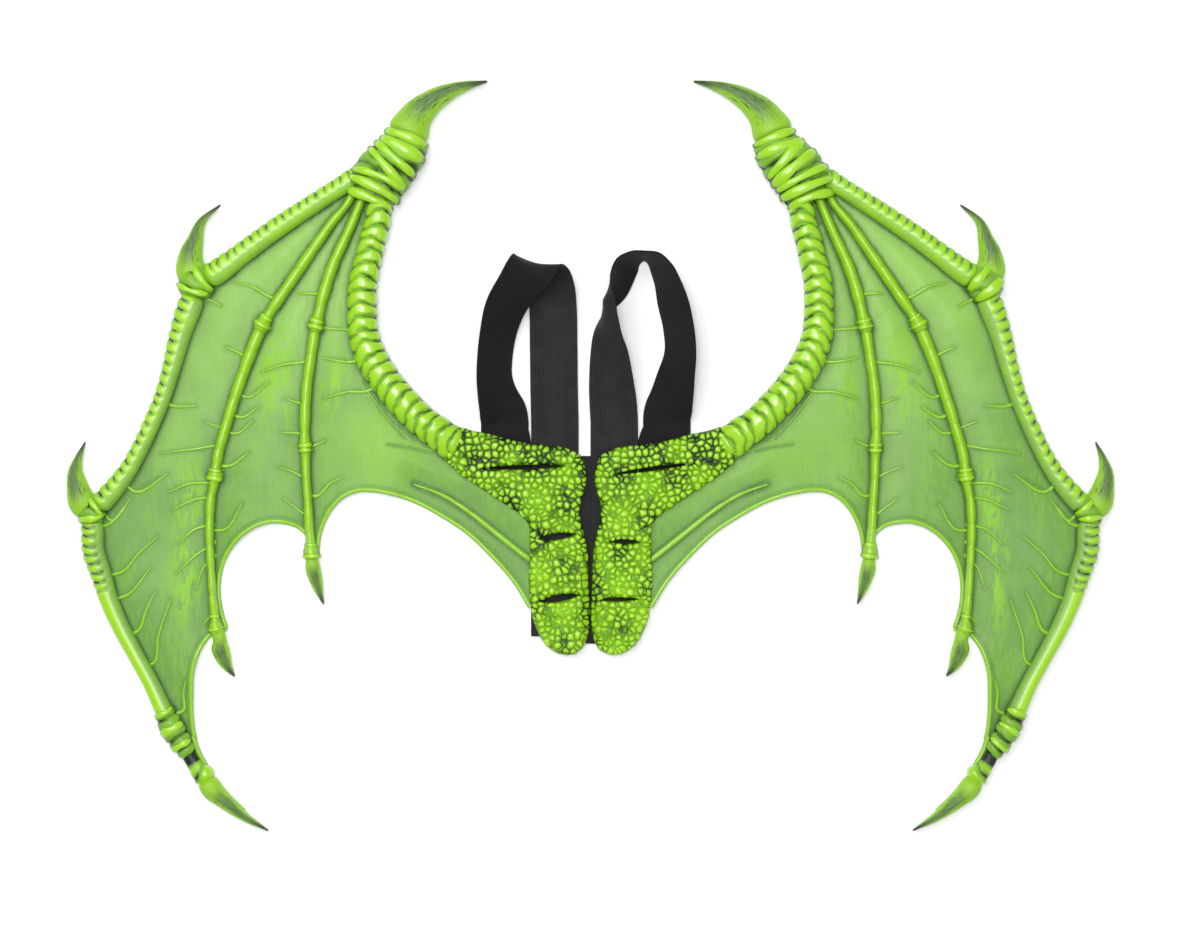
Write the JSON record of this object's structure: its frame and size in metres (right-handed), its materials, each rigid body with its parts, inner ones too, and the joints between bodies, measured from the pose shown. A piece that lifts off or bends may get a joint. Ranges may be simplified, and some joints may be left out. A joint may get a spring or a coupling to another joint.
{
  "type": "costume dragon wings",
  "caption": "Moulded latex dragon wings with ringed arms, jointed fingers, curved claws, thin scalloped skins and a black elastic shoulder harness.",
  "frame": {"origin": "under the middle of the flat-lying pair, on the surface it lies on", "axes": "+X along the span to the right wing, +Y towards the thumb claws and shoulder loops, +Z out of the painted face, away from the wearer"},
  "size_m": [0.8356, 0.5991, 0.0392],
  "materials": {
    "lime_latex": "satin painted latex, dark green in the hollows",
    "skin_latex": "satin painted latex, brushed with brighter lime",
    "claw_latex": "satin painted latex, dark brushed faces and tips",
    "black_elastic": "woven elastic with fine lengthwise ribs",
    "black_thread": "close zigzag stitching",
    "soft_wire": "drawn"
  },
  "bodies": {
    "harness": {"back_panel": "black_elastic", "left_inner_strap_leg": "black_elastic", "left_outer_strap_leg": "black_elastic", "left_upper_bar_tack": "black_thread", "left_lower_bar_tack": "black_thread", "right_inner_strap_leg": "black_elastic", "right_outer_strap_leg": "black_elastic", "right_upper_bar_tack": "black_thread", "right_lower_bar_tack": "black_thread"},
    "left_wing": {"left_root_pad": "lime_latex", "left_wing_skin": "skin_latex", "left_root_tendon": "lime_latex", "left_arm": "lime_latex", "left_wrist_wrap": "lime_latex", "left_thumb_claw": "claw_latex", "left_leading_bone_1": "lime_latex", "left_knuckle_1": "lime_latex", "left_spur_claw_1": "claw_latex", "left_leading_bone_2": "lime_latex", "left_knuckle_2": "lime_latex", "left_spur_claw_2": "claw_latex", "left_leading_bone_3": "lime_latex", "left_tip_wrap": "lime_latex", "left_tip_ball": "lime_latex", "left_tip_claw": "claw_latex", "left_inner_finger_upper": "lime_latex", "left_inner_finger_lower": "lime_latex", "left_inner_finger_claw": "claw_latex", "left_outer_finger_upper": "lime_latex", "left_outer_finger_lower": "lime_latex", "left_outer_finger_claw": "claw_latex", "left_arm_wire": "soft_wire", "left_leading_wire": "soft_wire"},
    "left_loop": {"left_shoulder_loop": "black_elastic"},
    "right_wing": {"right_root_pad": "lime_latex", "right_wing_skin": "skin_latex", "right_root_tendon": "lime_latex", "right_arm": "lime_latex", "right_wrist_wrap": "lime_latex", "right_thumb_claw": "claw_latex", "right_leading_bone_1": "lime_latex", "right_knuckle_1": "lime_latex", "right_spur_claw_1": "claw_latex", "right_leading_bone_2": "lime_latex", "right_knuckle_2": "lime_latex", "right_spur_claw_2": "claw_latex", "right_leading_bone_3": "lime_latex", "right_tip_wrap": "lime_latex", "right_tip_ball": "lime_latex", "right_tip_claw": "claw_latex", "right_inner_finger_upper": "lime_latex", "right_inner_finger_lower": "lime_latex", "right_inner_finger_claw": "claw_latex", "right_outer_finger_upper": "lime_latex", "right_outer_finger_lower": "lime_latex", "right_outer_finger_claw": "claw_latex", "right_arm_wire": "soft_wire", "right_leading_wire": "soft_wire"},
    "right_loop": {"right_shoulder_loop": "black_elastic"}
  },
  "joints": [
    {"name": "left_wing_fold", "type": "hinge", "parent": "harness", "child": "left_wing", "pos_m": [-0.0015, -0.07, 0.0037], "axis": [0, 1, 0], "range_deg": [0, 45]},
    {"name": "left_loop_tilt", "type": "hinge", "parent": "harness", "child": "left_loop", "pos_m": [-0.045, 0.02, 0.0021], "axis": [1, 0, 0], "range_deg": [-100, 60]},
    {"name": "right_wing_fold", "type": "hinge", "parent": "harness", "child": "right_wing", "pos_m": [0.0015, -0.07, 0.0037], "axis": [0, -1, 0], "range_deg": [0, 45]},
    {"name": "right_loop_tilt", "type": "hinge", "parent": "harness", "child": "right_loop", "pos_m": [0.045, 0.02, 0.0021], "axis": [1, 0, 0], "range_deg": [-100, 60]}
  ]
}
